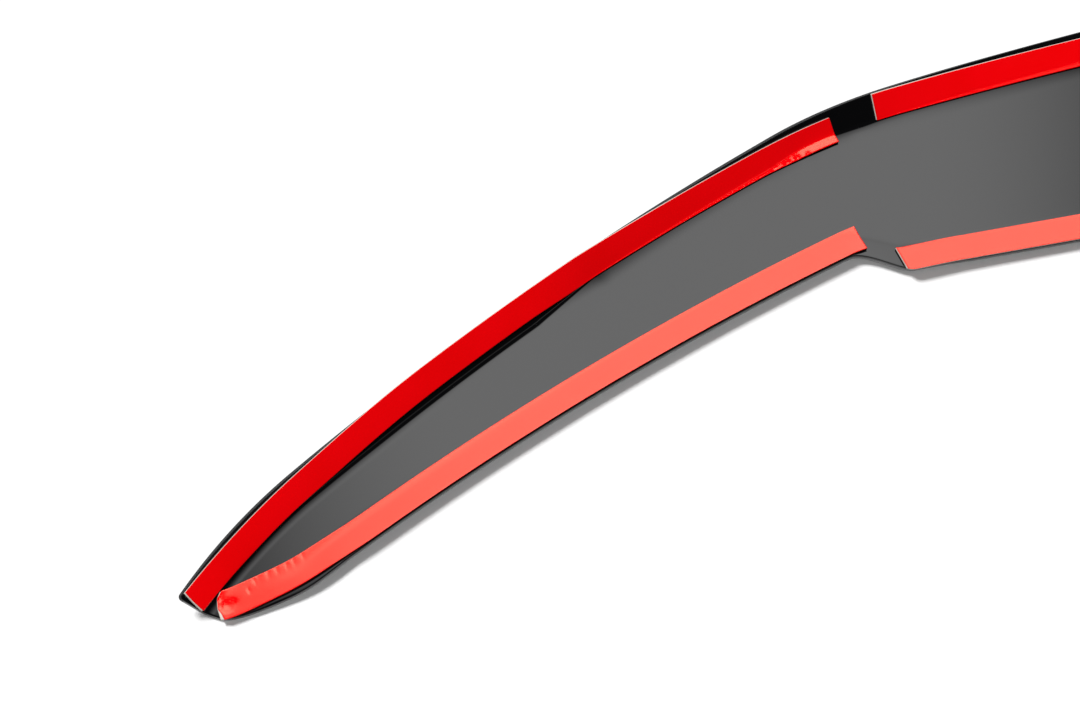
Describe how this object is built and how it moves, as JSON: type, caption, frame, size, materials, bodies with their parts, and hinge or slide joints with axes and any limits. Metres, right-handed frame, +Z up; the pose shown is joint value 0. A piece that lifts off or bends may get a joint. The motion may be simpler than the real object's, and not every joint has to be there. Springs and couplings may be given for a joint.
{
  "type": "hood deflector",
  "caption": "Long bowed strip of glossy black acrylic with a turned-up upper flange and a shallow lower flange, taped inner side up, with red-lined foam tape along both rims.",
  "frame": {"origin": "on the bench plane under the middle of the whole part, which lies on its outer face", "axes": "+X along the deflector to its right end as seen from the lower rim, +Y towards the bowed upper rim, +Z up out of the taped inner side"},
  "size_m": [1.3708, 0.2442, 0.0163],
  "materials": {
    "acrylic": "polished black acrylic",
    "foam": "matte foam",
    "liner": "smooth red film"
  },
  "bodies": {
    "root": {"deflector_body": "acrylic", "foam_upper_left": "foam", "foam_upper_middle": "foam", "foam_upper_right": "foam", "foam_lower_left": "foam", "foam_lower_middle": "foam", "foam_lower_right": "foam", "liner_upper_left": "liner", "liner_upper_middle": "liner", "liner_upper_right": "liner", "liner_lower_left": "liner", "liner_lower_middle": "liner", "liner_lower_right": "liner"}
  },
  "joints": []
}
